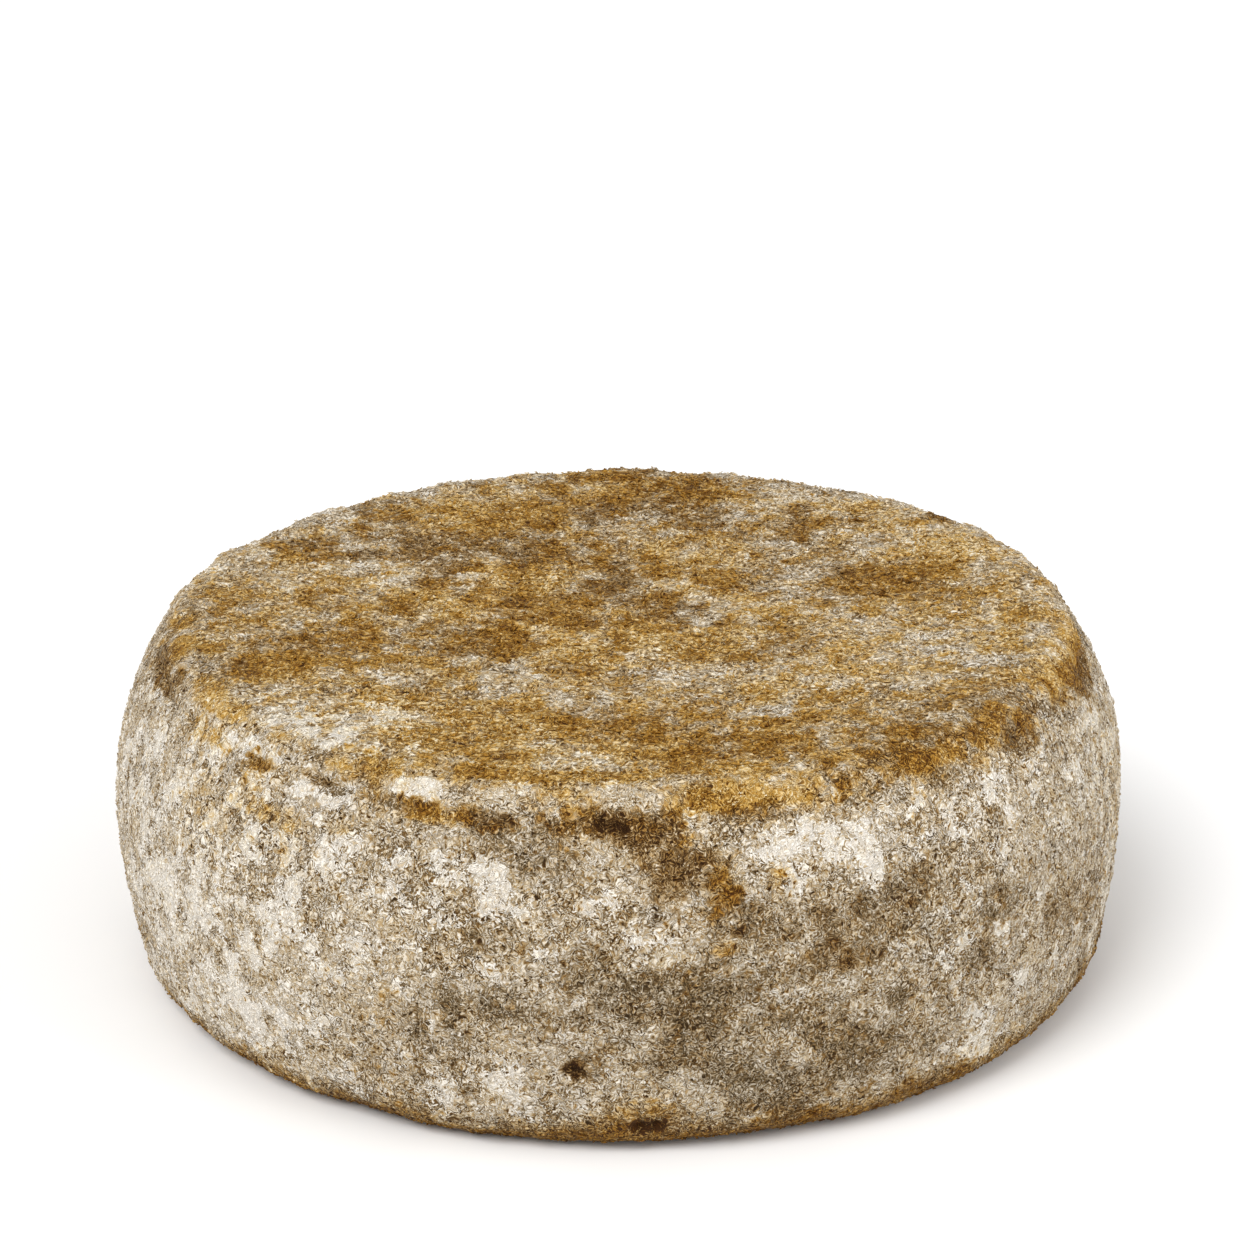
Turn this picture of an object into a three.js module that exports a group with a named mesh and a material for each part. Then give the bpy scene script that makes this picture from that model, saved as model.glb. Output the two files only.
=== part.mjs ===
// A whole wheel of semi-hard cheese with a dry natural rind, standing on its flat face.
// Millimetres, +Z up, origin at the middle of the face it rests on.

import * as THREE from 'three';

// Driving dimensions
const wheelRadius = 95;          // at the widest part of the bulging side
const wheelHeight = 66.5;        // mean height of the rim above the base
const bulgeHeight = 31.5;        // height at which the side is widest
const lowerSideRadius = 110;     // arc of the side below the bulge
const upperSideRadius = 57;      // arc of the side above the bulge
const baseEdgeRadius = 9;        // rounding between the side and the base
const shoulderRadius = 11;       // rounding between the side and the top
const topSag = 1.2;              // how far the middle of the top has settled

// How finely the surface is divided
const turnSegments = 96;
const flatSteps = 5;
const edgeSteps = 5;
const sideSteps = 6;

// The wheel was pressed and turned by hand, so it is a little out of round and its rim rolls.
// Each wave: how many times it repeats round the wheel, its depth, and where its crest lies.
const sideWaves = [
  { count: 2, depth: 0.45, crest: 0.5 },
  { count: 3, depth: 0.30, crest: 1.4 },
  { count: 5, depth: 0.25, crest: 0.3 },
];
const rimWaves = [
  { count: 1, depth: 0.7, crest: 0.0 },
  { count: 2, depth: 1.1, crest: 0.0 },
  { count: 5, depth: 0.3, crest: 0.6 },
];

function waveSum(waves, angle) {
  return waves.reduce((sum, { count, depth, crest }) => sum + depth * Math.cos(count * (angle - crest)), 0);
}

// Points on an arc in the radius and height plane, from one angle to another above the horizontal.
function arcPoints(centreR, centreZ, radius, fromAngle, toAngle, steps) {
  return Array.from({ length: steps + 1 }, (_, i) => {
    const angle = fromAngle + (toAngle - fromAngle) * i / steps;
    return new THREE.Vector2(centreR + radius * Math.cos(angle), centreZ + radius * Math.sin(angle));
  });
}

// An edge arc that is tangent inside a side arc and tangent to the flat face at the given height.
function edgeCentre(sideRadius, edgeRadius, faceHeight) {
  const direction = Math.sign(faceHeight - bulgeHeight);
  const z = faceHeight - direction * edgeRadius;
  const slant = Math.asin((z - bulgeHeight) / (sideRadius - edgeRadius));
  const r = wheelRadius - sideRadius + (sideRadius - edgeRadius) * Math.cos(slant);
  return { r, z, slant };
}

// Half of the wheel's cross-section, from the middle of the base round to the middle of the top.
function wheelProfile() {
  const base = edgeCentre(lowerSideRadius, baseEdgeRadius, 0);
  const shoulder = edgeCentre(upperSideRadius, shoulderRadius, wheelHeight);
  const points = [];
  for (let i = 0; i < flatSteps; i++) points.push(new THREE.Vector2(base.r * i / flatSteps, 0));
  points.push(...arcPoints(base.r, base.z, baseEdgeRadius, -Math.PI / 2, base.slant, edgeSteps));
  points.push(...arcPoints(wheelRadius - lowerSideRadius, bulgeHeight, lowerSideRadius,
    base.slant, 0, sideSteps).slice(1));
  points.push(...arcPoints(wheelRadius - upperSideRadius, bulgeHeight, upperSideRadius,
    0, shoulder.slant, sideSteps).slice(1));
  points.push(...arcPoints(shoulder.r, shoulder.z, shoulderRadius,
    shoulder.slant, Math.PI / 2, edgeSteps).slice(1));
  for (let i = flatSteps - 1; i >= 0; i--) {
    const share = i / flatSteps;
    points.push(new THREE.Vector2(shoulder.r * share, wheelHeight - topSag * (1 - share * share)));
  }
  return points;
}

// Rolls the rim up and down and lets the side swell, leaving the base flat and the poles in place.
function settle(geometry) {
  const position = geometry.attributes.position;
  for (let i = 0; i < position.count; i++) {
    const x = position.getX(i);
    const y = position.getY(i);
    const z = position.getZ(i);
    const angle = Math.atan2(y, x);
    const radiusShare = Math.hypot(x, y) / wheelRadius;
    const heightShare = z / wheelHeight;
    const swell = 1 + waveSum(sideWaves, angle) * Math.sin(Math.PI * heightShare * 0.8) / wheelRadius;
    const lift = waveSum(rimWaves, angle) * heightShare ** 3 * radiusShare ** 3;
    position.setXYZ(i, x * swell, y * swell, z + lift);
  }
}

// Puts the middle of the wheel's outline over the origin and its base on the ground.
function standOnOrigin(geometry) {
  geometry.computeBoundingBox();
  const { min, max } = geometry.boundingBox;
  geometry.translate(-(min.x + max.x) / 2, -(min.y + max.y) / 2, -min.z);
}

function makeWheel() {
  const geometry = new THREE.LatheGeometry(wheelProfile(), turnSegments);
  geometry.rotateX(Math.PI / 2);
  settle(geometry);
  standOnOrigin(geometry);
  geometry.computeVertexNormals();
  return geometry;
}

const rind = new THREE.MeshStandardMaterial({ color: 0xa89a80, roughness: 0.92, metalness: 0 });
rind.name = 'rind';

const wheel = new THREE.Mesh(makeWheel(), rind);
wheel.name = 'cheese_wheel';

const object = new THREE.Group();
object.add(wheel);

export default object;
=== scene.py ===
"""A whole wheel of semi-hard cheese with a dry natural rind, standing on a pale floor.

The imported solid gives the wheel's size and place. This script replaces its plain skin with one
closed mesh of the rind, which has its lumps, rolled shoulder, pits and raised mould, and roots
thousands of small curls of dry mould in it. Lengths in the tables are millimetres, and azimuths
are degrees round the wheel, counted from +X towards +Y.
"""

import itertools
import math

import bpy
import numpy as np
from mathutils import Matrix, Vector


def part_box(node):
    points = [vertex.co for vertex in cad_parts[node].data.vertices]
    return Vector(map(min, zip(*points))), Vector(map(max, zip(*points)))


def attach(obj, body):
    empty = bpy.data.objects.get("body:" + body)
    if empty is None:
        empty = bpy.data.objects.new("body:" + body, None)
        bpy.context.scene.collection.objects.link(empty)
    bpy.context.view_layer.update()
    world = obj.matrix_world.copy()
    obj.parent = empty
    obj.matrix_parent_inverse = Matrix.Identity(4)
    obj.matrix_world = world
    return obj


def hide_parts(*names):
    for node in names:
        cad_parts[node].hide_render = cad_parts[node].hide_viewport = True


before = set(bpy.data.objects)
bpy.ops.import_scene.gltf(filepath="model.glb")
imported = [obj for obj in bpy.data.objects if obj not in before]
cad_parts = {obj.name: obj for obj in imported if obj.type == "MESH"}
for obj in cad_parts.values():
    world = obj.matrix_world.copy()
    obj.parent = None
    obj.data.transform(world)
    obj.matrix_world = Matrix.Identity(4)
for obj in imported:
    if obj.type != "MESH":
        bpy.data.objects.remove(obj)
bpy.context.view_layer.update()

MM = 0.001

# ---- the wheel's shape, as the solid has it ------------------------------------------------

WHEEL_RADIUS = 95.0
RIM_HEIGHT = 66.5
BULGE_HEIGHT = 31.5
LOWER_SIDE_RADIUS = 110.0
UPPER_SIDE_RADIUS = 57.0
BASE_EDGE_RADIUS = 9.0
SHOULDER_RADIUS = 11.0
TOP_SAG = 1.2
SWELL_REACH = 0.8                  # share of half a turn of the sine that the swell has at the rim

# Each wave round the wheel: how many times it repeats, its depth, and its crest's angle in radians.
SIDE_WAVES = ((2, 0.45, 0.5), (3, 0.30, 1.4), (5, 0.25, 0.3))
RIM_WAVES = ((1, 0.7, 0.0), (2, 1.1, 0.0), (5, 0.3, 0.6))

# ---- how finely the rind is divided --------------------------------------------------------

ARC_STEPS = 60                     # points on each arc of the side's outline
TOP_CELLS = 160                    # cells along each edge of the top's grid
TURN_STEPS = 4 * TOP_CELLS         # steps round the side, which meets the top's grid edge to edge
TURN_START = -135                  # azimuth of the first step, at a corner of the top's grid
SIDE_STEPS = 92
BASE_RINGS = 9
BASE_RING_POWER = 1.4              # above 1, the base's rings lie closer together near its edge

# ---- the curls of dry mould ----------------------------------------------------------------

FLAKE_COUNT = 33000
FLAKE_SEED = 5
FLAKE_POINTS = 5
FLAKES_START = 2.0                 # how far up from the flat base they begin
FLAKE_SINK = 0.10                  # how deep their roots stand in the rind

# Least, greatest, and the power that the draw between them is raised to: above 1, the small ones
# are commoner. The bend is a share of the length and the slant a share of the width.
FLAKE_LENGTH = (0.9, 2.4, 1.6)
FLAKE_WIDTH = (0.30, 0.58, 1.0)
FLAKE_CREST = (0.10, 0.30, 1.0)
FLAKE_LIFT = (0.0, 0.40, 2.0)
FLAKE_BEND = (-0.22, 0.22, 1.0)
FLAKE_SLANT = (-0.4, 0.4, 1.0)

LONGER_ON_TOP = 0.15               # how much longer they are on the top
HIGHER_ON_TOP = 0.8                # how much higher they stand there
MIDDLE_LIFT = 0.3                  # the middle's share of the lifted end's height
FLECK_RANGE = (-0.6, 1.0)          # darkest to palest shade that a single one has

# ---- how the rind is flattened, in millimetres of rind -------------------------------------

SHEET = 332.0
SHEET_GAP = 2.5
STRIP_LENGTH = 149.0
BASE_SHEET_SCALE = 0.9

# ---- what grows on the rind, with some painted shade and shadow among the brown ------------

FRONT = -90                        # azimuth that faces the camera
LISTED_TURN = 106                  # how far each way from the front the patches are listed
LISTED_TURN_FADE = 22
LISTED_UP = 124                    # how far up from the base's edge they are listed
LISTED_UP_FADE = 12

# Each patch: azimuth, distance up the side from the edge of the flat base (measured over the
# surface), half-width, half-height, strength.
BLOOM = (
    (-150, 40, 34, 34, 0.55), (-128, 40, 26, 34, 0.30), (-160, 60, 10, 14, 0.25),
    (-104.5, 58.5, 3.6, 3.6, 0.75), (-112.5, 71.5, 5.5, 2.2, 0.95), (-124.5, 66.5, 4.0, 2.6, 0.80),
    (-129, 66, 2.6, 2.2, 0.70), (-122, 57.5, 4.5, 5.5, 0.50), (-127, 49, 5.0, 6.5, 0.30),
    (-71, 63.5, 9, 3.8, 0.85), (-62, 62, 8, 4.6, 0.90), (-62.5, 54.5, 4.2, 5.0, 0.75),
    (-49, 60.5, 9, 4.5, 0.55), (-41, 61.5, 5, 3.6, 0.60), (-101, 54, 9, 2.8, 0.55),
    (-109, 54, 5, 4.0, 0.35), (-86, 46.5, 8, 3.2, 0.60), (-90.5, 56, 2.6, 4.5, 0.60),
    (-149, 37, 5, 4.0, 0.50), (-134, 25, 5, 9, 0.30), (-133, 14, 4, 5, 0.35),
    (-104, 19.5, 6, 3.2, 0.45), (-110, 17.5, 4, 3.5, 0.40), (-101, 26, 5, 3.6, 0.40),
    (-103, 13, 6, 2.6, 0.40), (-47, 17, 8, 7, 0.60), (-40, 27, 10, 5, 0.30),
    (-104, 40.5, 5, 3, 0.45), (-70, 37, 9, 3.4, 0.40), (-52, 37, 9, 3.4, 0.30),
    (-26, 53, 6, 6, 0.45), (-15, 38, 14, 24, 0.60), (-22, 20, 14, 8, 0.25),
    (-140, 84, 20, 9, 0.40), (-120, 82, 14, 4, 0.30), (-125, 97, 10, 8, 0.40),
    (-104, 76, 6, 2.5, 0.45), (-125, 69, 6, 3.0, 0.45), (-145, 68, 6, 3.0, 0.35),
    (-75, 34, 6, 3.5, 0.45), (-128, 93, 6, 3.2, 0.55), (-128, 88, 5, 2.2, 0.40),
    (-141, 103, 6, 3.2, 0.75), (-149, 97, 3.4, 3.2, 0.50), (-95, 86, 7, 4.6, 0.45),
    (-136, 76, 13, 3.2, 0.40), (-127, 78.5, 6, 2.4, 0.45), (-138, 70, 9, 2.0, 0.45),
    (-85, 76, 8, 1.6, 0.40), (-90, 25, 2.4, 6.0, 0.40), (-95, 30, 4, 2.2, 0.35),
    (-112, 49, 9, 5, 0.25),
)
SLATE = (
    (-101, 64.5, 13, 4.2, 0.60), (-96, 59, 8, 3.6, 0.45), (-104.5, 34.5, 8, 4.2, 0.55),
    (-112, 29, 8, 5, 0.45), (-85, 37, 12, 6.5, 0.55), (-93, 43, 6, 4.5, 0.50),
    (-80, 24, 12, 5, 0.40), (-62, 21, 18, 8, 0.50), (-75, 17, 10, 6, 0.45),
    (-103.5, 47, 7, 3.6, 0.35), (-60, 32, 5, 2.4, 0.45), (-44, 42, 9, 5, 0.40),
    (-49, 34, 4, 3, 0.35), (-68, 51, 8, 3, 0.30), (-147, 45, 4, 2.4, 0.35), (-141, 66, 5, 3, 0.35),
    (-38, 17, 4, 3, 0.40), (-24, 15, 4, 5, 0.45), (-75, 30, 26, 20, 0.34), (-63, 46, 14, 8, 0.32),
    (-97, 32, 16, 10, 0.36), (-79, 51, 9, 5, 0.45), (-56, 52, 8, 4, 0.30), (-36, 47, 8, 8, 0.25),
    (-45, 34, 5, 4, 0.30), (-117, 20, 5, 5, 0.30), (-75, 88, 6, 6, 0.45),
)
BROWN_AND_SHADOW = (
    (-88, 66.2, 6, 3.0, 0.75), (-91.5, 68.5, 4.5, 2.0, 0.90), (-83.5, 60.5, 6, 5, 0.50),
    (-86, 63, 8, 6, 0.20), (-85, 55, 4, 3, 0.30), (-94.8, 23, 2.6, 2.4, 0.70),
    (-87, 11, 3.6, 1.8, 0.95), (-66, 45, 9, 5.5, 0.36), (-65, 39.5, 3.4, 2.2, 0.55),
    # The thin rows at 67.6 to 69 up, from -148 to -104, draw a brown line along the groove: partly the
    # rind's own brown, partly painted shade under the lip.
    (-57.5, 48, 2.6, 2.0, 0.50), (-106, 67.6, 5, 1.6, 0.45), (-114, 68.8, 4, 1.4, 0.36),
    (-119, 67.8, 3, 1.2, 0.32), (-127, 69, 5, 1.4, 0.40), (-136, 68, 4, 1.4, 0.40),
    (-104, 68.3, 14, 1.8, 0.24), (-126, 68.6, 14, 2.2, 0.12), (-148, 68.5, 14, 2.6, 0.12),
    # The rows from -57 to -14 at 67 to 73 up, on the shoulder right of the front, are partly the
    # rind's brown and partly painted shadow of a cut piece that lay there and is not built.
    (-55, 11, 14, 3, 0.35), (-90, 70.5, 10, 1.4, 0.25), (-37, 71, 20, 3.0, 0.35),
    (-34, 67, 6, 3.0, 0.40), (-14, 67, 12, 5, 0.50), (-57, 73, 12, 4, 0.60), (-33, 34, 8, 6, 0.35),
    (-25, 30, 8, 7, 0.25), (-78.5, 57, 3.4, 5.5, 0.50), (-77.5, 48.8, 2.2, 1.4, 0.60),
    # On the top, the rows at -161/96, -85/100 and -68/88 are painted shadow of cut pieces that lay on
    # the wheel, kept weak.
    (-166, 70, 12, 4, 0.60), (-161, 96, 12, 14, 0.35), (-156, 82, 5, 3, 0.55),
    (-85, 100, 16, 14, 0.22), (-68, 88, 18, 12, 0.25), (-97, 104, 12, 6, 0.30),
    (-106, 84, 4, 2, 0.55), (-106, 77, 12, 2.2, 0.35), (-127, 38, 2.6, 3.0, 0.35),
    (-41, 79, 20, 6, 0.35),
)
OCHRE = (
    (-78.5, 57, 2.8, 4.6, 0.62), (-80, 52, 2.2, 2.6, 0.40), (-73, 57.5, 2.0, 1.8, 0.62),
    (-82.5, 65, 1.8, 1.6, 0.50), (-77, 72, 10, 1.8, 0.95), (-70, 70.5, 4, 1.4, 0.60),
    (-110, 92, 38, 14, 0.30), (-118, 85, 8, 3, 0.60), (-107, 98, 9, 5, 0.60),
    (-135, 97, 8, 5, 0.50), (-92, 78.5, 10, 2.2, 0.75), (-104, 78, 8, 3, 0.60),
    (-131, 60.5, 8, 2.0, 0.50), (-122, 62, 3, 1.6, 0.50), (-155, 90, 6, 8, 0.85),
    (-150, 74, 12, 2.6, 0.65), (-76, 79.5, 5, 1.6, 0.80), (-52, 71, 10, 2.2, 0.55),
    (-14, 70, 10, 3, 0.60), (-14, 42, 14, 18, 0.30), (-142, 56, 12, 8, 0.35),
    (-128, 55, 6, 5, 0.30), (-118, 30, 9, 9, 0.22), (-88, 14.5, 7, 4.0, 0.42),
    (-79, 46, 3.4, 1.8, 0.50), (-125, 72, 5, 1.8, 0.55), (-111, 67, 6, 1.8, 0.55),
    (-146, 68, 8, 1.8, 0.45), (-83, 39, 2.0, 1.4, 0.30),
)

# Each growth: its listed patches, and, where none are listed, its general level, what the top adds
# to that, and the seed of its mottling.
GROWTHS = {
    "bloom": (BLOOM, 0.20, -0.10, 21),
    "slate": (SLATE, 0.16, -0.10, 22),
    "brown": (BROWN_AND_SHADOW, 0.05, 0.25, 23),
    "ochre": (OCHRE, 0.02, 0.50, 24),
}
BLOOM_POWER = 1.5                  # gathers the bloom towards the middles of its patches

# How much of these growths the shoulder and the top have all over, besides their patches there.
TOP_TINT = {"ochre": 0.52, "brown": 0.10}
TINT_START = 61                    # how far up the tint begins
TINT_FADE = 14

# The stained foot: its height, how much taller it is at one azimuth, and how much ochre it has.
FOOT_HEIGHT = 14
FOOT_RISE = 2.5
FOOT_TALLEST_AT = -35
FOOT_FADE = 7
FOOT_OCHRE = 0.55

TOP_FADE = 7                       # how far below the top's edge the top's finish begins

# Each layer of random bumps: height, size across, seed.
LUMPS = ((0.40, 15, 1), (0.22, 6, 2), (0.16, 2.8, 3), (0.12, 1.7, 4))
RAGGED_EDGES = ((0.30, 3.2, 11), (0.20, 1.6, 12))
MOTTLE_LAYERS = ((0.42, 17, 0), (0.34, 7, 10), (0.30, 3, 20))

# The rolled shoulder: how far up each of these runs, its height or depth, and its half-width.
LIP = (73.5, 0.50, 2.6)
GROOVE = (68.2, 0.65, 1.2)
KNOBS = (70, 0.50, 6)

PIT_SHADE_SPREAD = 1.7                    # how much wider than a pit its painted shade is

# Each pit: azimuth, distance up the side, radius, depth.
PITS = (
    (-95.2, 23.2, 1.3, 1.0), (-94.2, 22.2, 1.4, 1.1), (-87.9, 10.9, 1.7, 1.2),
    (-86.0, 11.3, 1.4, 1.0), (-84.6, 11.6, 0.8, 0.7), (-92.2, 68.6, 1.4, 1.0),
    (-90.8, 68.0, 1.2, 0.9), (-89.4, 67.5, 1.3, 1.0), (-123.3, 55.6, 0.6, 0.6),
    (-104.4, 58.0, 0.7, 0.5), (-149.8, 34.6, 0.9, 0.8), (-106.8, 83.8, 0.9, 0.8),
    (-110.8, 36.4, 0.5, 0.5), (-57.6, 47.0, 0.6, 0.5), (-139.3, 36.4, 0.6, 0.5),
    (-77.4, 48.8, 0.8, 0.5), (-154.8, 92.4, 0.8, 0.6), (-60.0, 62.6, 0.5, 0.4),
)


def arc_points(centre_r, centre_z, radius, start, end, steps):
    """Points on a circle's arc in the radius-height plane, from one angle to another."""
    angle = np.linspace(start, end, steps)
    return np.stack([centre_r + radius * np.cos(angle), centre_z + radius * np.sin(angle)], axis=1)


def edge_arc(side_radius, edge_radius, face_height):
    """Centre and slant of the edge arc that is tangent to a flat face and inside a side arc."""
    towards = math.copysign(1, face_height - BULGE_HEIGHT)
    centre_z = face_height - towards * edge_radius
    slant = math.asin((centre_z - BULGE_HEIGHT) / (side_radius - edge_radius))
    centre_r = WHEEL_RADIUS - side_radius + (side_radius - edge_radius) * math.cos(slant)
    return centre_r, centre_z, slant


BASE_R, BASE_Z, BASE_SLANT = edge_arc(LOWER_SIDE_RADIUS, BASE_EDGE_RADIUS, 0.0)
TOP_R, TOP_Z, TOP_SLANT = edge_arc(UPPER_SIDE_RADIUS, SHOULDER_RADIUS, RIM_HEIGHT)


def side_outline():
    """The side in section: base edge arc, lower side arc, upper side arc and shoulder arc end to
    end. Returns the distance along it and the radius and height there."""
    quarter = math.pi / 2
    points = np.concatenate([
        arc_points(BASE_R, BASE_Z, BASE_EDGE_RADIUS, -quarter, BASE_SLANT, ARC_STEPS),
        arc_points(WHEEL_RADIUS - LOWER_SIDE_RADIUS, BULGE_HEIGHT, LOWER_SIDE_RADIUS,
                   BASE_SLANT, 0.0, ARC_STEPS)[1:],
        arc_points(WHEEL_RADIUS - UPPER_SIDE_RADIUS, BULGE_HEIGHT, UPPER_SIDE_RADIUS,
                   0.0, TOP_SLANT, ARC_STEPS)[1:],
        arc_points(TOP_R, TOP_Z, SHOULDER_RADIUS, TOP_SLANT, quarter, ARC_STEPS)[1:],
    ])
    steps = np.hypot(*np.diff(points, axis=0).T)
    return np.concatenate([[0.0], np.cumsum(steps)]), points[:, 0], points[:, 1]


OUTLINE_UP, OUTLINE_R, OUTLINE_Z = side_outline()
SIDE_LENGTH = OUTLINE_UP[-1]


def wave_sum(waves, angle):
    """Sum of depth x cos(count x (angle - crest)) over the waves."""
    return sum(depth * np.cos(count * (angle - crest)) for count, depth, crest in waves)


def settled(radius, angle, height):
    """A point of the wheel of revolution moved as the real one settled: the side swells and the
    rim rolls by a few waves round the wheel, fading out at the flat base and at the middle."""
    share = height / RIM_HEIGHT
    swell = 1 + wave_sum(SIDE_WAVES, angle) * np.sin(math.pi * share * SWELL_REACH) / WHEEL_RADIUS
    lift = wave_sum(RIM_WAVES, angle) * share ** 3 * (radius / WHEEL_RADIUS) ** 3
    return np.stack([radius * np.cos(angle) * swell, radius * np.sin(angle) * swell, height + lift],
                    axis=-1)


def disc_grid(cells):
    """A square grid laid over the unit disc: along each square ring the angle grows evenly, at a
    radius equal to the ring's half-width, so the grid's edge meets the circle in even steps.
    Returns radius and angle."""
    line = np.linspace(-1, 1, cells + 1)
    x, y = np.meshgrid(line, line)
    ring = np.maximum(np.abs(x), np.abs(y))
    safe = np.where(ring > 0, ring, 1)
    on_sides = np.abs(x) >= np.abs(y)
    along = math.pi / 4 * np.where(on_sides, y * np.sign(x), x * np.sign(y)) / safe
    angle = np.where(on_sides, along + np.where(x < 0, math.pi, 0),
                     math.pi / 2 * np.sign(y) - along)
    return ring, angle


def rind_layout():
    """Lays out every vertex of the rind once: rings up the side, the grid inside the top and rings
    into the base. Returns azimuth, distance up from the base edge (negative on the base, past
    SIDE_LENGTH on the top), radius, height and the faces."""
    turn = np.radians(TURN_START) + 2 * math.pi * np.arange(TURN_STEPS) / TURN_STEPS
    up = np.linspace(0, SIDE_LENGTH, SIDE_STEPS + 1)
    side_angle, side_up = np.meshgrid(turn, up)
    parts = [(side_angle, side_up, np.interp(side_up, OUTLINE_UP, OUTLINE_R),
              np.interp(side_up, OUTLINE_UP, OUTLINE_Z))]

    grid_r, grid_angle = disc_grid(TOP_CELLS)
    inside = (slice(1, -1), slice(1, -1))
    r, angle = grid_r[inside], grid_angle[inside]
    parts.append((angle, SIDE_LENGTH + TOP_R * (1 - r), TOP_R * r,
                  RIM_HEIGHT - TOP_SAG * (1 - r ** 2)))

    share = 1 - (np.arange(1, BASE_RINGS) / BASE_RINGS) ** BASE_RING_POWER
    base_angle, base_share = np.meshgrid(turn, share)
    parts.append((base_angle, BASE_R * (base_share - 1), BASE_R * base_share, base_share * 0))
    parts.append((np.zeros(1), np.full(1, -BASE_R), np.zeros(1), np.zeros(1)))

    columns = [np.concatenate([part[k].ravel() for part in parts]) for k in range(4)]
    return (*columns, rind_faces())


def rind_faces():
    """Index rows of the rind's four-cornered faces, and of the fan at the base's middle."""
    ring_count = SIDE_STEPS + 1
    rings = np.arange(ring_count * TURN_STEPS).reshape(ring_count, TURN_STEPS)

    grid = np.empty((TOP_CELLS + 1, TOP_CELLS + 1), int)
    inner = TOP_CELLS - 1
    grid[1:-1, 1:-1] = rings.size + np.arange(inner * inner).reshape(inner, inner)
    rim = rings[-1]
    grid[0, :-1] = rim[:TOP_CELLS]
    grid[:-1, -1] = rim[TOP_CELLS:2 * TOP_CELLS]
    grid[-1, :0:-1] = rim[2 * TOP_CELLS:3 * TOP_CELLS]
    grid[:0:-1, 0] = rim[3 * TOP_CELLS:]

    base_start = rings.size + inner * inner
    base = np.arange((BASE_RINGS - 1) * TURN_STEPS).reshape(BASE_RINGS - 1, TURN_STEPS) + base_start
    base = np.concatenate([rings[:1], base])
    middle = base_start + (BASE_RINGS - 1) * TURN_STEPS

    quads = [ring_quads(rings), ring_quads(base[::-1]),
             np.stack([grid[:-1, :-1], grid[:-1, 1:], grid[1:, 1:], grid[1:, :-1]], -1).reshape(-1, 4)]
    last = base[-1]
    fan = np.stack([np.roll(last, -1), last, np.full(TURN_STEPS, middle)], -1)
    return np.concatenate(quads), fan


def ring_quads(rings):
    """Faces between each closed ring and the next one up."""
    here, across = rings[:-1], np.roll(rings[:-1], -1, axis=1)
    above, above_across = rings[1:], np.roll(rings[1:], -1, axis=1)
    return np.stack([here, across, above_across, above], -1).reshape(-1, 4)


# Large odd numbers that scramble a cell's three indices and a seed into one number.
CELL_FACTORS = np.array([73856093, 19349663, 83492791])
SEED_FACTOR = 2654435761
SCRAMBLES = ((15, 2246822519), (13, 3266489917))


def lattice_value(cell, seed):
    """A repeatable number from -1 to 1 for each whole-numbered cell: its indices and the seed are
    multiplied by large numbers and joined, and then shifted and multiplied twice more."""
    mask = np.int64(0xFFFFFFFF)
    mixed = (np.bitwise_xor.reduce(cell * CELL_FACTORS, axis=1) ^ seed * SEED_FACTOR) & mask
    for shift, factor in SCRAMBLES:
        mixed = ((mixed ^ (mixed >> shift)) * factor) & mask
    return (mixed ^ (mixed >> 16)) / float(mask) * 2 - 1


def bumps(points, size, seed):
    """Smooth random bumps about `size` across, from -1 to 1: random values on a cubic lattice,
    blended over each cell by the fade 6t^5 - 15t^4 + 10t^3."""
    scaled = points / size
    cell = np.floor(scaled).astype(np.int64)
    t = scaled - cell
    fade = t ** 3 * (t * (t * 6 - 15) + 10)
    total = np.zeros(len(points))
    for corner in itertools.product((0, 1), repeat=3):
        weight = np.prod(np.where(corner, fade, 1 - fade), axis=1)
        total += weight * lattice_value(cell + np.array(corner), seed)
    return total


def layered(points, layers, seed=0):
    """Sum of height x bumps over the layers, each with its own size and seed."""
    return sum(height * bumps(points, size, seed + own) for height, size, own in layers)


def bell(up, middle, half_width):
    """A band round the wheel, exp(-d^2), d being the distance from its middle in half-widths."""
    return np.exp(-((up - middle) / half_width) ** 2)


def turn_between(angle, degrees):
    """Signed angle from a direction in degrees, wrapped to half a turn each way."""
    return (angle - math.radians(degrees) + math.pi) % (2 * math.pi) - math.pi


def patch_field(patches, angle, up, radius, ragged):
    """Strength of one growth: the sum over its patches of strength x exp(-d^3), d being the
    distance from the middle in half-widths, pushed in and out by the ragged bumps."""
    total = np.zeros(len(angle))
    for azimuth, centre_up, half_width, half_height, strength in patches:
        across = turn_between(angle, azimuth) * radius / half_width
        along = (up - centre_up) / half_height
        total += strength * np.exp(-np.clip(np.hypot(across, along) + ragged, 0, None) ** 3)
    return np.clip(total, 0, 1)


def pit_field(angle, up, radius, widen=1.0):
    """Depth of the pits in millimetres: each one is a bowl, depth x (1 - d^2)^2 inside d = 1."""
    total = np.zeros(len(angle))
    for azimuth, centre_up, pit_radius, depth in PITS:
        across = turn_between(angle, azimuth) * radius / (pit_radius * widen)
        along = (up - centre_up) / (pit_radius * widen)
        total = np.maximum(total, depth * np.clip(1 - across ** 2 - along ** 2, 0, None) ** 2)
    return total


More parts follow.
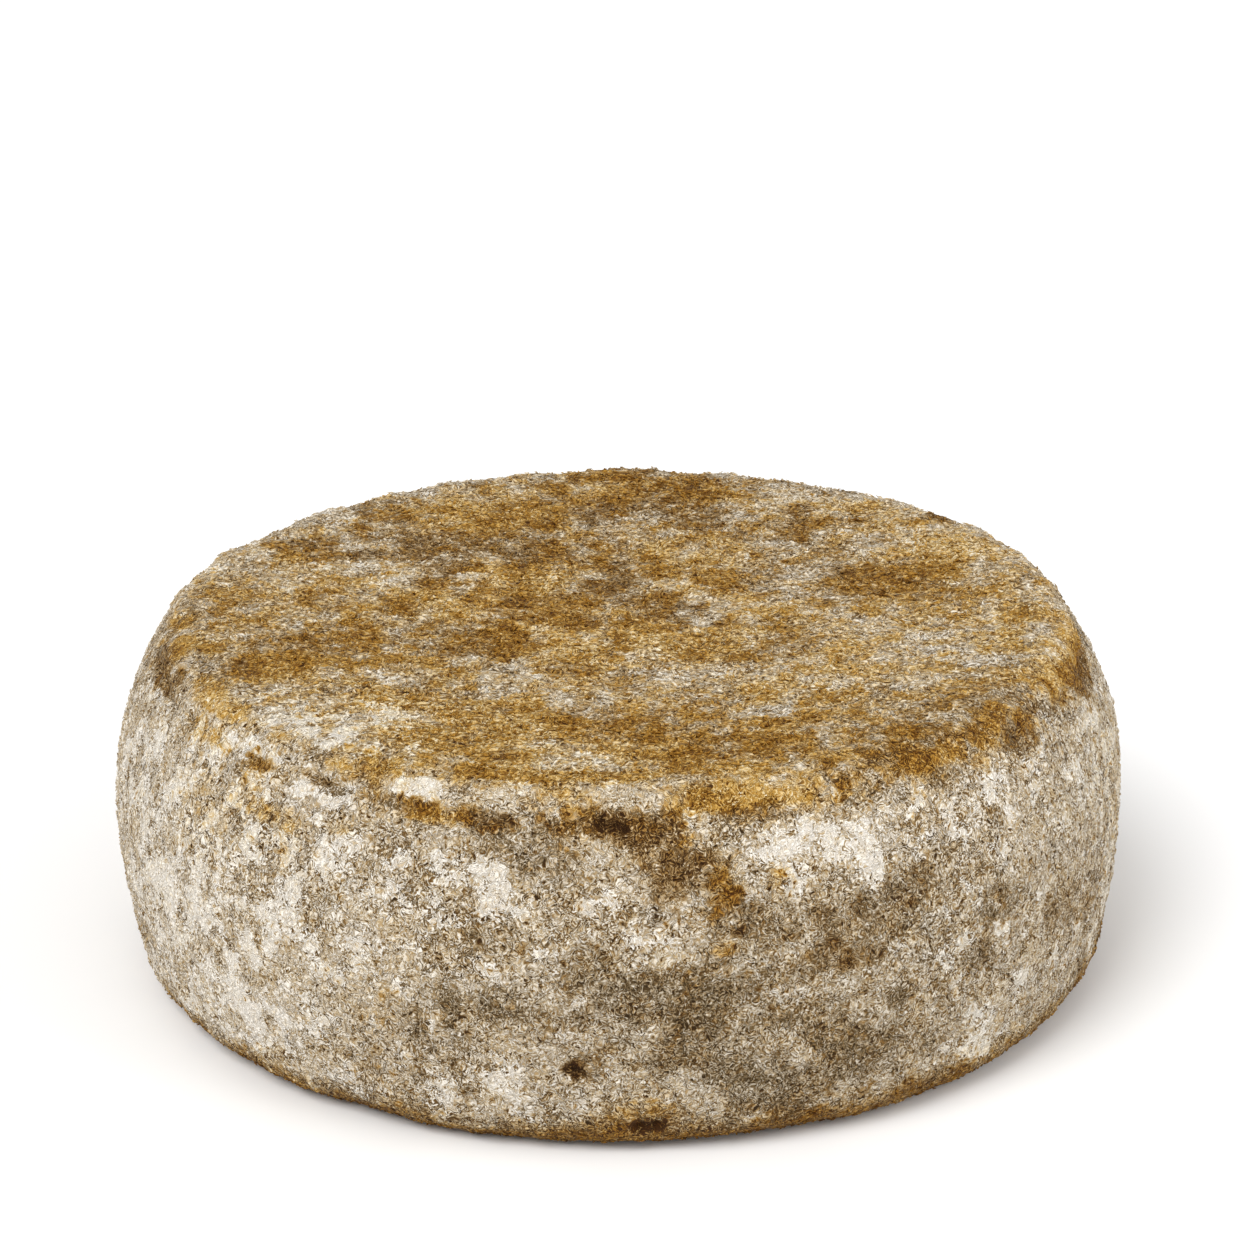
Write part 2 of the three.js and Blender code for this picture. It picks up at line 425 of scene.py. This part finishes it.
def growth_on(points, angle, up, radius):
    """The four growths over the surface, 0 to 1, the brown one with some painted shade and shadow:
    the patches where they are listed, and mottling by random bumps on the far side, the middle of
    the top and the base."""
    ragged = layered(points, RAGGED_EDGES)
    off_front = np.degrees(np.abs(turn_between(angle, FRONT)))
    listed_share = np.clip((LISTED_TURN - off_front) / LISTED_TURN_FADE, 0, 1)
    listed_share = listed_share * np.clip((LISTED_UP - up) / LISTED_UP_FADE, 0, 1)
    on_top = np.clip((up - SIDE_LENGTH + 8) / 12, 0, 1)
    tinted = np.clip((up - TINT_START + 5 * bumps(points, 8, 13)) / TINT_FADE, 0, 1)
    patchy = 1 + 0.6 * bumps(points, 7, 14) + 0.7 * bumps(points, 3, 15)
    growth = {}
    for name, (patches, level, more_on_top, seed) in GROWTHS.items():
        mottle = layered(points, MOTTLE_LAYERS, seed)
        random_growth = np.clip(level + more_on_top * on_top + 0.75 * mottle, 0, 1)
        listed = patch_field(patches, angle, up, radius, ragged)
        if name in TOP_TINT:
            listed += TOP_TINT[name] * tinted * patchy * (1 - 0.8 * growth["bloom"])
        growth[name] = np.clip(listed, 0, 1) * listed_share + random_growth * (1 - listed_share)
    growth["bloom"] = growth["bloom"] ** BLOOM_POWER
    return growth


def relief(points, angle, up, radius, growth):
    """How far the rind stands out from the smooth wheel, in millimetres: lumps at four sizes, a
    lip, a groove and knobs round the shoulder, raised mould, and pits."""
    uneven = np.clip(0.35 + 1.3 * bumps(points, 7, 5), 0, 1)
    wander = 2.2 * bumps(points, 8, 6)
    (lip_up, lip_height, lip_width), (groove_up, groove_depth, groove_width) = LIP, GROOVE
    lip = lip_height * bell(up - wander, lip_up, lip_width)
    groove = groove_depth * bell(up - wander, groove_up, groove_width)
    knobs_up, knob_height, knobs_width = KNOBS
    knobs = knob_height * bumps(points, 3.2, 7) * bell(up, knobs_up, knobs_width)
    raised = 0.18 * growth["bloom"] - 0.10 * growth["brown"]
    pits = pit_field(angle, up, radius)
    height = layered(points, LUMPS) + uneven * (lip - groove) + knobs + raised - pits
    off_base = np.clip((up + 1) / 6, 0, 1)
    return height * off_base ** 2


def fit_to(points, low, high):
    """Stretches the points so that their box is the solid's box."""
    own_low, own_high = points.min(0), points.max(0)
    return (points - own_low) / (own_high - own_low) * (high - low) + low


def build_mesh(name, points, quads, fan):
    """A mesh from whole arrays of vertices, four-cornered faces and three-cornered faces."""
    mesh = bpy.data.meshes.new(name)
    corners = np.concatenate([quads.ravel(), fan.ravel()])
    starts = np.concatenate([np.arange(len(quads)) * 4, quads.size + np.arange(len(fan)) * 3])
    mesh.vertices.add(len(points))
    mesh.vertices.foreach_set("co", points.ravel())
    mesh.loops.add(len(corners))
    mesh.loops.foreach_set("vertex_index", corners)
    mesh.polygons.add(len(starts))
    mesh.polygons.foreach_set("loop_start", starts)
    mesh.update(calc_edges=True)
    mesh.shade_smooth()
    return mesh


def vertex_normals(mesh):
    """The outward direction at each vertex."""
    normals = np.empty(len(mesh.vertices) * 3)
    mesh.vertices.foreach_get("normal", normals)
    return normals.reshape(-1, 3)


def store(mesh, name, values):
    """Keeps one number per vertex for the material to read."""
    attribute = mesh.attributes.new(name, "FLOAT", "POINT")
    attribute.data.foreach_set("value", values.astype(np.float32))


def make_rind():
    """The wheel's whole outside as one closed mesh, in metres, in the solid's own place. Returns
    its object and what the flakes need: its vertices in millimetres, its triangles, how far up
    each vertex is and the growths."""
    angle, up, radius, height, (quads, fan) = rind_layout()
    low, high = (np.array(corner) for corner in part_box("cheese_wheel"))
    smooth = fit_to(settled(radius, angle, height), low, high)
    mesh = build_mesh("rind", smooth, quads, fan)

    points = smooth / MM
    growth = growth_on(points, angle, up, radius)
    height_out = relief(points, angle, up, radius, growth)
    displaced = smooth + vertex_normals(mesh) * (height_out * MM)[:, None]
    displaced[:, 2] = np.maximum(displaced[:, 2], low[2])
    mesh.vertices.foreach_set("co", displaced.ravel())
    mesh.update()

    # Painted shade in and round the pits, 0 to 1; it also keeps the flakes out of them.
    growth["pit"] = np.clip(pit_field(angle, up, radius, PIT_SHADE_SPREAD) * 1.2, 0, 1)
    # Painted shade in the rind's recesses, and paler crests as wear, through the mould film.
    growth["hollow_shade_and_wear"] = np.clip(0.5 - height_out / 1.6, 0, 1)
    growth["top"] = np.clip((up - SIDE_LENGTH + TOP_FADE) / TOP_FADE, 0, 1)
    foot_edge = FOOT_HEIGHT + FOOT_RISE * np.cos(turn_between(angle, FOOT_TALLEST_AT))
    foot_edge = foot_edge + 2 * bumps(points, 5, 8) + 2 * bumps(points, 22, 9)
    growth["foot"] = np.clip((foot_edge - up) / FOOT_FADE, 0, 1)
    growth["ochre"] = np.maximum(growth["ochre"], FOOT_OCHRE * growth["foot"])
    for name, values in growth.items():
        store(mesh, name, values)
    flatten(mesh, rind_layout_flat(points, quads, fan))
    triangles = np.concatenate([quads[:, [0, 1, 2]], quads[:, [0, 2, 3]]])
    return add_object("rind", mesh), displaced / MM, triangles, up, growth


def add_object(name, mesh):
    piece = bpy.data.objects.new(name, mesh)
    bpy.context.scene.collection.objects.link(piece)
    return piece


def make_flakes(points, triangles, up, growth):
    """Small curled flakes of dry mould all over the rind except the base and the pits. Each is a
    closed spindle of five points: a rooted end and a lifted end half its length either way along a
    random heading, and between them, pushed aside by the bend, a foot on each side of a crest."""
    rng = np.random.default_rng(FLAKE_SEED)
    corners = points[triangles]
    normal = np.cross(corners[:, 1] - corners[:, 0], corners[:, 2] - corners[:, 0])
    area = np.linalg.norm(normal, axis=1)
    bare = (up[triangles].min(1) < FLAKES_START) | (growth["pit"][triangles].max(1) > 0.4)
    reached = np.cumsum(np.where(bare, 0, area))
    drawn = np.searchsorted(reached, rng.random(FLAKE_COUNT) * reached[-1])
    root, turn = np.sqrt(rng.random(FLAKE_COUNT)), rng.random(FLAKE_COUNT)
    weights = np.stack([1 - root, root * (1 - turn), root * turn], axis=1)[:, :, None]
    place = (corners[drawn] * weights).sum(1)
    out = normal[drawn] / area[drawn][:, None]

    def drawn_between(least, greatest, power):
        return (least + (greatest - least) * rng.random(FLAKE_COUNT) ** power)[:, None]

    on_top = (growth["top"][triangles[drawn]][:, :, None] * weights).sum(1)
    heading = rng.normal(size=(FLAKE_COUNT, 3))
    across = np.cross(out, heading)
    across /= np.linalg.norm(across, axis=1)[:, None]
    along = np.cross(across, out)
    length = drawn_between(*FLAKE_LENGTH) * (1 + LONGER_ON_TOP * on_top)
    width = drawn_between(*FLAKE_WIDTH)
    crest = drawn_between(*FLAKE_CREST) * (1 + HIGHER_ON_TOP * on_top)
    lift = drawn_between(*FLAKE_LIFT) * (1 + HIGHER_ON_TOP * on_top)
    bend = drawn_between(*FLAKE_BEND) * length
    slant = drawn_between(*FLAKE_SLANT)
    middle = place + across * bend + out * lift * MIDDLE_LIFT
    sunk = FLAKE_SINK * out
    spindle = np.stack([place - along * length / 2 - sunk, place + along * length / 2 + out * lift,
                        middle - across * width / 2 - sunk, middle + across * width / 2 - sunk,
                        middle + out * crest + across * width * slant], axis=1)
    spindle[..., 2] = np.maximum(spindle[..., 2], 0)

    rooted, lifted, left, right, top = range(FLAKE_POINTS)
    facets = np.array([(left, right, lifted), (right, top, lifted), (top, left, lifted),
                       (right, left, rooted), (top, right, rooted), (left, top, rooted)])
    faces = (np.arange(FLAKE_COUNT)[:, None, None] * FLAKE_POINTS + facets).reshape(-1, 3)
    mesh = build_mesh("mould flakes", spindle.reshape(-1, 3) * MM, np.empty((0, 4), int), faces)
    for name, values in growth.items():
        shares = (values[triangles[drawn]] * weights[:, :, 0]).sum(1)
        store(mesh, name, np.repeat(shares, FLAKE_POINTS))
    store(mesh, "fleck", np.repeat(rng.uniform(*FLECK_RANGE, FLAKE_COUNT), FLAKE_POINTS))
    flatten(mesh, flakes_flat())
    return add_object("mould_flakes", mesh)


def flatten(mesh, corners):
    """Keeps the flattened place of every face corner, in a map named OFBake."""
    mesh.uv_layers.new(name="OFBake").data.foreach_set("uv", corners.astype(np.float32).ravel())


def rind_layout_flat(points, quads, fan):
    """Flattens the rind on a square sheet: the side as four strips of a quarter turn each, one
    above the other, and the top and the base as discs beside them, seen from outside."""
    side_count = SIDE_STEPS * TURN_STEPS
    top_start = len(quads) - TOP_CELLS ** 2
    quarter = TURN_STEPS // 4
    ring, column = np.divmod(np.arange(side_count), TURN_STEPS)
    strip, along = np.divmod(column, quarter)
    across = SHEET_GAP + STRIP_LENGTH * (along[:, None] + np.array([0, 1, 1, 0])) / quarter
    upward = SHEET_GAP + SIDE_LENGTH * (ring[:, None] + np.array([0, 0, 1, 1])) / SIDE_STEPS
    upward = upward + (SIDE_LENGTH + SHEET_GAP) * strip[:, None]
    side = np.stack([across, upward], axis=-1).reshape(-1, 2)

    def disc(faces, centre, scale):
        return points[faces.ravel(), :2] * scale + centre

    middle = (SHEET + STRIP_LENGTH + SHEET_GAP) / 2
    base_scale = np.array([-BASE_SHEET_SCALE, BASE_SHEET_SCALE])
    sheet = np.concatenate([
        side, disc(quads[side_count:top_start], (middle, SHEET / 4), base_scale),
        disc(quads[top_start:], (middle, SHEET * 3 / 4), 1.0),
        disc(fan, (middle, SHEET / 4), base_scale)])
    return sheet / SHEET


def flakes_flat():
    """Gives each flake its own small square of a sheet, its four upper faces over its two lower
    ones."""
    rooted, lifted, left, right, crest = (0.1, 0.6), (0.9, 0.6), (0.5, 0.35), (0.5, 0.9), (0.5, 0.6)
    under_left, under_right = (0.5, 0.05), (0.5, 0.25)
    under_lifted, under_rooted = (0.9, 0.1), (0.1, 0.1)
    facets = np.array([(under_left, under_right, under_lifted), (right, crest, lifted),
                       (crest, left, lifted), (under_right, under_left, under_rooted),
                       (crest, right, rooted), (left, crest, rooted)])
    squares = math.ceil(math.sqrt(FLAKE_COUNT))
    row, column = np.divmod(np.arange(FLAKE_COUNT), squares)
    corner = np.stack([column, row], axis=-1)[:, None, None, :]
    return (corner + facets) / squares


# ---- materials -----------------------------------------------------------------------------

def paint(red, green, blue):
    """A colour mixed as 0-255 screen values, as the linear values a shader takes."""
    screen = np.array([red, green, blue]) / 255
    linear = np.where(screen <= 0.04045, screen / 12.92, ((screen + 0.055) / 1.055) ** 2.4)
    return (*linear, 1.0)


# The rind's colours from darkest to palest, as 0-255 screen values.
COLOURS = {
    "cool mould": ((52, 36, 14), (98, 79, 50), (140, 121, 91),
                   (180, 166, 144), (213, 204, 190), (234, 228, 218)),
    "warm mould": ((58, 34, 6), (106, 76, 36), (152, 122, 76),
                   (189, 168, 132), (217, 204, 181), (234, 226, 210)),
    "ochre colours": ((72, 40, 4), (124, 82, 22), (164, 120, 46),
                      (194, 155, 82), (217, 191, 138), (238, 227, 202)),
    "brown colours": ((46, 24, 2), (92, 62, 24), (134, 104, 60),
                      (174, 148, 108), (210, 194, 168), (236, 228, 214)),
}

LOOSE_CALM = 0.45                  # how much of the rind's fine contrast the loose flakes keep
SHADE_OF_FLAKES = 0.17             # what the contrast adds to the paleness on average


class Shader:
    """Adds named nodes to one material."""

    def __init__(self, name):
        self.material = bpy.data.materials.new(name)
        self.material.use_nodes = True
        self.tree = self.material.node_tree
        self.tree.nodes.clear()

    def add(self, kind, name, inputs=(), **settings):
        """A node with its settings and inputs; an input is a constant or another node's output."""
        node = self.tree.nodes.new(kind)
        node.name = node.label = name
        for setting, value in settings.items():
            setattr(node, setting, value)
        for socket, value in dict(inputs).items():
            if isinstance(value, bpy.types.NodeSocket):
                self.tree.links.new(value, node.inputs[socket])
            else:
                node.inputs[socket].default_value = value
        return node

    def noise(self, name, place, size_mm, detail=2.0, roughness=0.5):
        node = self.add("ShaderNodeTexNoise", name, {
            "Vector": place, "Scale": 1 / (size_mm * MM), "Detail": detail, "Roughness": roughness})
        return node.outputs["Fac"]

    def math(self, name, operation, *values):
        return self.add("ShaderNodeMath", name, enumerate(values), operation=operation).outputs[0]

    def centred(self, name, place, size_mm, **settings):
        """Noise about 0 instead of about 0.5."""
        return self.math(name + " centred", "SUBTRACT", self.noise(name, place, size_mm, **settings),
                         0.5)

    def ridge(self, name, place, size_mm, thickness):
        """Thin winding lines, 1 along the middle: where noise crosses its middle value."""
        distance = self.math(name + " distance", "ABSOLUTE", self.centred(name, place, size_mm,
                                                                          detail=0.0))
        return self.spread(name + " line", distance, 0.0, thickness, 1.0, 0.0)

    def curl(self, name, place, size_mm, reach_mm):
        """The place pushed about by three noises, so that what is drawn on it winds and curls."""
        push = self.add("ShaderNodeTexNoise", name, {
            "Vector": place, "Scale": 1 / (size_mm * MM), "Detail": 1.0, "Roughness": 0.5})
        centred = self.add("ShaderNodeVectorMath", name + " centred", {
            0: push.outputs["Color"], 1: (0.5, 0.5, 0.5)}, operation="SUBTRACT")
        return self.add("ShaderNodeVectorMath", name + " pushed", {
            0: centred.outputs[0], 1: (reach_mm * MM,) * 3, 2: place},
            operation="MULTIPLY_ADD").outputs[0]

    def total(self, name, start, parts):
        """start plus each part times its weight."""
        for number, (value, weight) in enumerate(parts, 1):
            start = self.math(f"{name} {number}", "MULTIPLY_ADD", value, weight, start)
        return start

    def blend(self, name, share, first, second):
        """Goes from the first value to the second as the share goes from 0 to 1."""
        node = self.add("ShaderNodeMix", name, {0: share, 2: first, 3: second}, data_type="FLOAT")
        return node.outputs[0]

    def spread(self, name, value, low, high, to_low=0.0, to_high=1.0, smooth=True):
        """Maps value from low-high to to_low-to_high, held at the ends."""
        node = self.add("ShaderNodeMapRange", name, {
            "Value": value, "From Min": low, "From Max": high, "To Min": to_low, "To Max": to_high},
            interpolation_type="SMOOTHSTEP" if smooth else "LINEAR")
        return node.outputs["Result"]

    def ramp(self, name, value):
        """Goes evenly through the colours that COLOURS lists under the name."""
        colours = COLOURS[name]
        node = self.add("ShaderNodeValToRGB", name, {"Fac": value})
        while len(node.color_ramp.elements) < len(colours):
            node.color_ramp.elements.new(1.0)
        for number, (element, colour) in enumerate(zip(node.color_ramp.elements, colours)):
            element.position = number / (len(colours) - 1)
            element.color = paint(*colour)
        return node.outputs["Color"]

    def mix(self, name, share, first, second):
        """Goes from the first colour to the second as the share goes from 0 to 1."""
        node = self.add("ShaderNodeMix", name, {0: share, 6: first, 7: second}, data_type="RGBA")
        return node.outputs[2]

    def attribute(self, name):
        return self.add("ShaderNodeAttribute", name + " growth", attribute_name=name).outputs["Fac"]


def rind_material(name, loose):
    """Dry natural rind: pale mould flakes and fibres over grey, tan, ochre and brown ground. The
    loose flakes have their own shape and each its own shade, so their finish is calmer and goes
    without the fine relief."""
    calm = LOOSE_CALM if loose else 1.0
    s = Shader(name)
    place = s.add("ShaderNodeTexCoord", "place on the wheel").outputs["Object"]
    curled = s.curl("curl of the flakes", place, size_mm=1.9, reach_mm=2.6)
    bloom, slate, brown, ochre, pit, hollow_shade_and_wear, foot, top, fleck = (s.attribute(name) for name in (
        "bloom", "slate", "brown", "ochre", "pit", "hollow_shade_and_wear", "foot", "top", "fleck"))

    # Flakes are finer on the side than on the top, where they stand up and lap over.
    fine = s.noise("fine flakes", curled, 0.40, detail=1.0, roughness=0.6)
    wide = s.noise("wide flakes", curled, 0.80, detail=2.0, roughness=0.65)
    flakes = s.blend("flakes by place", top, fine, wide)
    flakes = s.spread("crisp flakes", flakes, 0.37, 0.63)
    fibres = s.ridge("pale fibres", curled, 0.95, thickness=0.055)
    # Dark threads and specks: partly dark ground between the flakes, partly painted shade in those
    # gaps.
    threads_and_gap_shade = s.ridge("dark threads", curled, 1.25, thickness=0.045)
    gaps = s.noise("where threads break", place, 1.7, detail=1.0)
    threads_and_gap_shade = s.math("broken threads", "MULTIPLY", threads_and_gap_shade, s.spread("gaps", gaps, 0.42, 0.58))
    specks_and_gap_shade = s.add("ShaderNodeTexVoronoi", "specks", {
        "Vector": curled, "Scale": 1 / (1.7 * MM), "Randomness": 1.0}).outputs["Distance"]
    specks_and_gap_shade = s.spread("dark specks", specks_and_gap_shade, 0.12, 0.26, 1.0, 0.0)
    tufts = s.centred("tufts", curled, 1.8, detail=4.0, roughness=0.58)
    clouds = s.centred("clouds of mould", place, 6.0, detail=3.0, roughness=0.6)
    islands = s.centred("islands of mould", curled, 5.5, detail=5.0, roughness=0.66)

    def ragged(name, value):
        edge = s.total(name + " and tufts", value, ((tufts, 1.6), (islands, 1.2), (flakes, 0.20)))
        return s.spread("ragged " + name, edge, 0.20, 0.95)

    slate, brown, ochre = ragged("slate", slate), ragged("brown", brown), ragged("ochre", ochre)

    # Thick white mould stands in crisp-edged islands, and hides the dark threads and specks with
    # their painted shade.
    thick = s.total("thick mould", 0.04, (
        (islands, 2.3), (tufts, 0.6), (bloom, 0.32), (slate, -0.26), (brown, -0.34),
        (ochre, -0.10), (flakes, 0.12)))
    thick = s.spread("edges of thick mould", thick, 0.19, 0.29)
    thin = s.math("thinner mould", "MULTIPLY_ADD", thick, -0.50, 1.0)
    threads_and_gap_shade = s.math("threads on thin mould", "MULTIPLY", threads_and_gap_shade, thin)
    specks_and_gap_shade = s.math("specks on thin mould", "MULTIPLY", specks_and_gap_shade, thin)

    # How far mould films over the ground: the growths lean it, the tufts give it ragged edges, and
    # the painted shade thins it in recesses while crests, as if worn, keep more of it.
    lean = s.total("lean of the film", 0.86, (
        (bloom, 0.10), (slate, -0.22), (brown, -0.28), (ochre, -0.06), (foot, -0.22),
        (hollow_shade_and_wear, -0.36), (clouds, 0.26)))
    film = s.total("tufted film", lean, ((tufts, 1.30), (flakes, 0.16), (thick, 0.10)))
    film = s.spread("film of mould", film, 0.56, 0.80)

    # How pale each point is, on the bare ground and on the film.
    kept_shade = SHADE_OF_FLAKES * (1 - calm)
    ground = s.total("bare ground", 0.14 + kept_shade, (
        (flakes, 0.42 * calm), (fibres, 0.34 * calm)))
    coat = s.total("mould coat", 0.455 + kept_shade, (
        (flakes, 0.32 * calm), (fibres, 0.16 * calm), (thick, 0.25)))
    pale = s.blend("ground and film", film, ground, coat)
    # Painted shade in and round the pits, with ragged edges.
    ragged_pit_shade = s.total("pits and tufts", pit, ((tufts, 3.0), (flakes, 0.3)))
    ragged_pit_shade = s.spread("ragged pits", ragged_pit_shade, 0.60, 0.85)
    lean_out = s.math("lean centred", "SUBTRACT", lean, 0.60)
    # Paleness drops along the threads and specks, partly painted shade, and in the pits' painted
    # shade.
    pale = s.total("paleness", pale, (
        (lean_out, 0.26), (threads_and_gap_shade, -0.44 * calm), (specks_and_gap_shade, -0.40 * calm), (ragged_pit_shade, -0.30),
        (fleck, 0.20), (top, 0.09), (foot, -0.10), (brown, -0.07), (slate, -0.06), (ochre, -0.04)))

    # Warm and cool grains lie side by side.
    grain = s.centred("warm and cool grain", curled, 0.50, detail=1.0, roughness=0.5)
    drift = s.centred("warm and cool drift", place, 4.5, detail=3.0, roughness=0.6)
    warmth = s.total("warmth", 0.52, (
        (grain, 3.6), (drift, 3.0), (slate, -0.60), (foot, 0.50), (top, 0.30), (thick, -0.40)))
    warmth = s.spread("warm share", warmth, 0.0, 1.0, smooth=False)

    cool, warm, ochres, browns = (s.ramp(colours, pale) for colours in COLOURS)
    colour = s.mix("cool and warm mould", warmth, cool, warm)
    colour = s.mix("brown over that", brown, colour, browns)
    colour = s.mix("ochre over that", ochre, colour, ochres)

    roughness = s.spread("matt mould, smoother bare rind", pale, 0.2, 0.8, 0.70, 0.95, smooth=False)
    skin = s.add("ShaderNodeBsdfPrincipled", "rind finish", {
        "Base Color": colour, "Roughness": roughness, "Specular IOR Level": 0.12})
    if not loose:
        rise = s.total("height of the crust", flakes, (
            (film, 0.6), (fibres, 0.35), (threads_and_gap_shade, -0.5), (specks_and_gap_shade, -0.5)))
        reach = s.spread("relief reach", top, 0.0, 1.0, 0.18 * MM, 0.34 * MM, smooth=False)
        bump = s.add("ShaderNodeBump", "crust relief", {
            "Height": rise, "Strength": 1.0, "Distance": reach})
        s.tree.links.new(bump.outputs["Normal"], skin.inputs["Normal"])
    s.add("ShaderNodeOutputMaterial", "rind surface", {"Surface": skin.outputs["BSDF"]})
    return s.material


def plain_material(name, colour, roughness):
    s = Shader(name)
    finish = s.add("ShaderNodeBsdfPrincipled", name + " finish", {
        "Base Color": colour, "Roughness": roughness, "Specular IOR Level": 0.2})
    s.add("ShaderNodeOutputMaterial", name + " surface", {"Surface": finish.outputs["BSDF"]})
    return s.material


# ---- the set -------------------------------------------------------------------------------

CAMERA_ELEVATION = 21.5
CAMERA_DISTANCE = 0.7645
CAMERA_LENS = 116.3
AIM = Vector((0.0014, 0.0, 0.0624))

KEY_AZIMUTH = -128
KEY_ELEVATION = 50
KEY_POWER = 2.05
KEY_WIDTH = 35                     # how wide the sun looks, in degrees
FILL_PLACE = (1.3, -0.5, 0.7)
FILL_SIZE = 1.0
FILL_POWER = 8.0
ROOM_COLOUR = (1.0, 0.99, 0.98, 1)
ROOM_BRIGHTNESS = 0.68

FLOOR_HALF = 4.0
FLOOR_DROP = 0.0002                # keeps the floor just under the wheel's base


def make_camera():
    camera = bpy.data.cameras.new("camera")
    camera.sensor_width = 36.0
    camera.lens = CAMERA_LENS
    camera.clip_end = 20.0
    holder = bpy.data.objects.new("camera", camera)
    rise = math.radians(CAMERA_ELEVATION)
    away = Vector((0.0, -math.cos(rise), math.sin(rise)))
    holder.location = AIM + away * CAMERA_DISTANCE
    holder.rotation_euler = away.to_track_quat("Z", "Y").to_euler()
    bpy.context.scene.collection.objects.link(holder)
    bpy.context.scene.camera = holder


def make_floor():
    half = FLOOR_HALF
    mesh = bpy.data.meshes.new("floor")
    mesh.from_pydata([(-half, -half, 0), (half, -half, 0), (half, half, 0), (-half, half, 0)], [],
                     [(0, 1, 2, 3)])
    floor = bpy.data.objects.new("floor", mesh)
    floor.location.z = -FLOOR_DROP
    bpy.context.scene.collection.objects.link(floor)
    mesh.materials.append(plain_material("pale floor", (0.92, 0.92, 0.92, 1), 0.9))


def aim_from(azimuth, elevation):
    """Unit vector towards a direction given by its azimuth and elevation in degrees."""
    turn, rise = math.radians(azimuth), math.radians(elevation)
    return Vector((math.cos(rise) * math.cos(turn), math.cos(rise) * math.sin(turn), math.sin(rise)))


def softbox(name, place, size, power):
    """A square lamp that faces the wheel."""
    lamp = bpy.data.lights.new(name, "AREA")
    lamp.size = size
    lamp.energy = power
    holder = bpy.data.objects.new(name, lamp)
    holder.location = place
    holder.rotation_euler = (Vector(place) - AIM).to_track_quat("Z", "Y").to_euler()
    bpy.context.scene.collection.objects.link(holder)


def light_the_set():
    world = bpy.data.worlds.new("white room")
    bpy.context.scene.world = world
    world.use_nodes = True
    background = world.node_tree.nodes["Background"]
    background.inputs["Color"].default_value = ROOM_COLOUR
    background.inputs["Strength"].default_value = ROOM_BRIGHTNESS
    key = bpy.data.lights.new("wide key light", "SUN")
    key.energy = KEY_POWER
    key.angle = math.radians(KEY_WIDTH)
    holder = bpy.data.objects.new("wide key light", key)
    towards_key = aim_from(KEY_AZIMUTH, KEY_ELEVATION)
    holder.rotation_euler = towards_key.to_track_quat("Z", "Y").to_euler()
    bpy.context.scene.collection.objects.link(holder)
    softbox("fill softbox", FILL_PLACE, FILL_SIZE, FILL_POWER)
    bpy.context.scene.view_settings.view_transform = "Standard"


make_camera()
make_floor()
light_the_set()

rind, *surface = make_rind()
flakes = make_flakes(*surface)
rind.data.materials.append(rind_material("dry natural rind", loose=False))
flakes.data.materials.append(rind_material("loose mould flakes", loose=True))
for piece in (rind, flakes):
    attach(piece, "root")
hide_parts("cheese_wheel")
